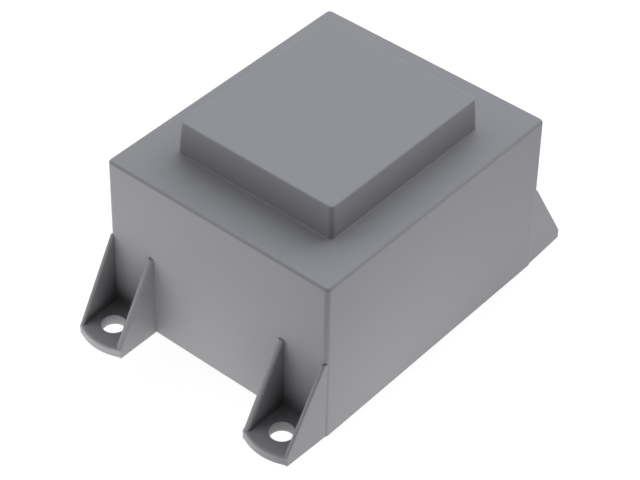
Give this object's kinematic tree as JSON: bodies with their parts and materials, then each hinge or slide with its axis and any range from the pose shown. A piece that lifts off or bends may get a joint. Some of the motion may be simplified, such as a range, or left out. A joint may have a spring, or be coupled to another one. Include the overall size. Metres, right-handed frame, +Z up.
{
  "type": "encapsulated mains transformer for a printed circuit board",
  "caption": "Potted board transformer: a grey moulded box with a raised coil plateau, gusseted screw lugs at both ends and straight solder pins beneath.",
  "frame": {"origin": "middle of the four lug holes, in the seating plane of the housing's rim and lugs", "axes": "+X along the longer side towards one pair of lugs, +Y towards the secondary row of pins, +Z up out of the board. The pins reach below z = 0."},
  "size_m": [0.087, 0.0544, 0.0487],
  "materials": {
    "housing": "satin moulded plastic, grey",
    "resin": "cast resin, grey, slightly glossy",
    "lamination": "electrical steel sheet, blue-grey",
    "bobbin": "moulded polyamide, off-white",
    "enamelled_copper": "enamelled copper wire, wound",
    "tape": "polyester film, yellow",
    "tinned_wire": "tinned copper, soft sheen",
    "solder": "solder, bright",
    "cutout_can": "moulded case, cream"
  },
  "bodies": {
    "root": {"housing": "housing", "potting_resin": "resin", "bobbin": "bobbin", "thermal_cutout": "cutout_can", "solder_joints": "solder", "e_laminations_front": "lamination", "e_laminations_rear": "lamination", "i_laminations_front": "lamination", "i_laminations_rear": "lamination", "primary_winding_inner": "enamelled_copper", "primary_winding_outer": "enamelled_copper", "primary_middle_tape": "tape", "primary_cover_tape": "tape", "secondary_winding_inner": "enamelled_copper", "secondary_winding_outer": "enamelled_copper", "secondary_middle_tape": "tape", "secondary_cover_tape": "tape", "pin_1_primary": "tinned_wire", "lead_1_primary": "enamelled_copper", "pin_2_primary": "tinned_wire", "lead_2_primary": "enamelled_copper", "pin_3_primary": "tinned_wire", "lead_3_primary": "enamelled_copper", "pin_4_primary": "tinned_wire", "lead_4_primary": "enamelled_copper", "pin_5_secondary": "tinned_wire", "lead_5_secondary": "enamelled_copper", "pin_6_secondary": "tinned_wire", "lead_6_secondary": "enamelled_copper", "pin_7_secondary": "tinned_wire", "lead_7_secondary": "enamelled_copper", "pin_8_secondary": "tinned_wire", "lead_8_secondary": "enamelled_copper"}
  },
  "joints": []
}
